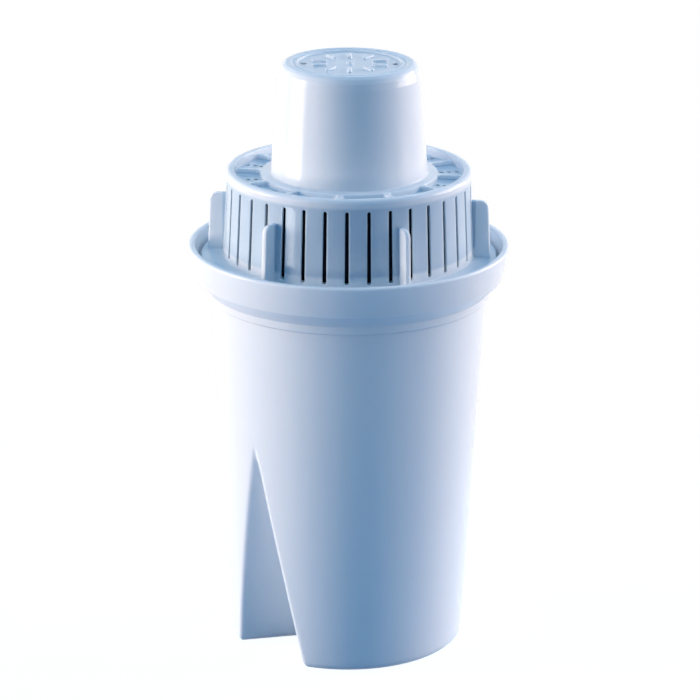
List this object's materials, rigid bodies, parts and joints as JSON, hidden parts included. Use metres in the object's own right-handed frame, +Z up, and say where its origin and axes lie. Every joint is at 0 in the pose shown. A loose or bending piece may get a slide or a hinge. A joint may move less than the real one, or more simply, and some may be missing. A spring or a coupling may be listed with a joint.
{
  "type": "water pitcher filter cartridge",
  "caption": "Tapered filter cup with a flared rim and a wedge notch in its side, closed by a lid with a slotted drum, upright fins, a sunken ribbed ring and a hollow pull knob.",
  "frame": {"origin": "middle of the overall box at the underside of the foot", "axes": "+Z up from the foot to the knob, along the turned axis; the wedge notch faces -Y"},
  "size_m": [0.065, 0.065, 0.1216],
  "materials": {
    "canister": "smooth moulded polypropylene, soft gloss",
    "lid": "smooth moulded polypropylene, soft gloss",
    "screen": "fine woven mesh, black",
    "fleece": "needled felt",
    "bed": "loose granules of carbon and resin"
  },
  "bodies": {
    "root": {"canister": "canister", "lid": "lid", "inlet_screen": "screen", "upper_fleece": "fleece", "filter_bed": "bed", "lower_fleece": "fleece"}
  },
  "joints": []
}
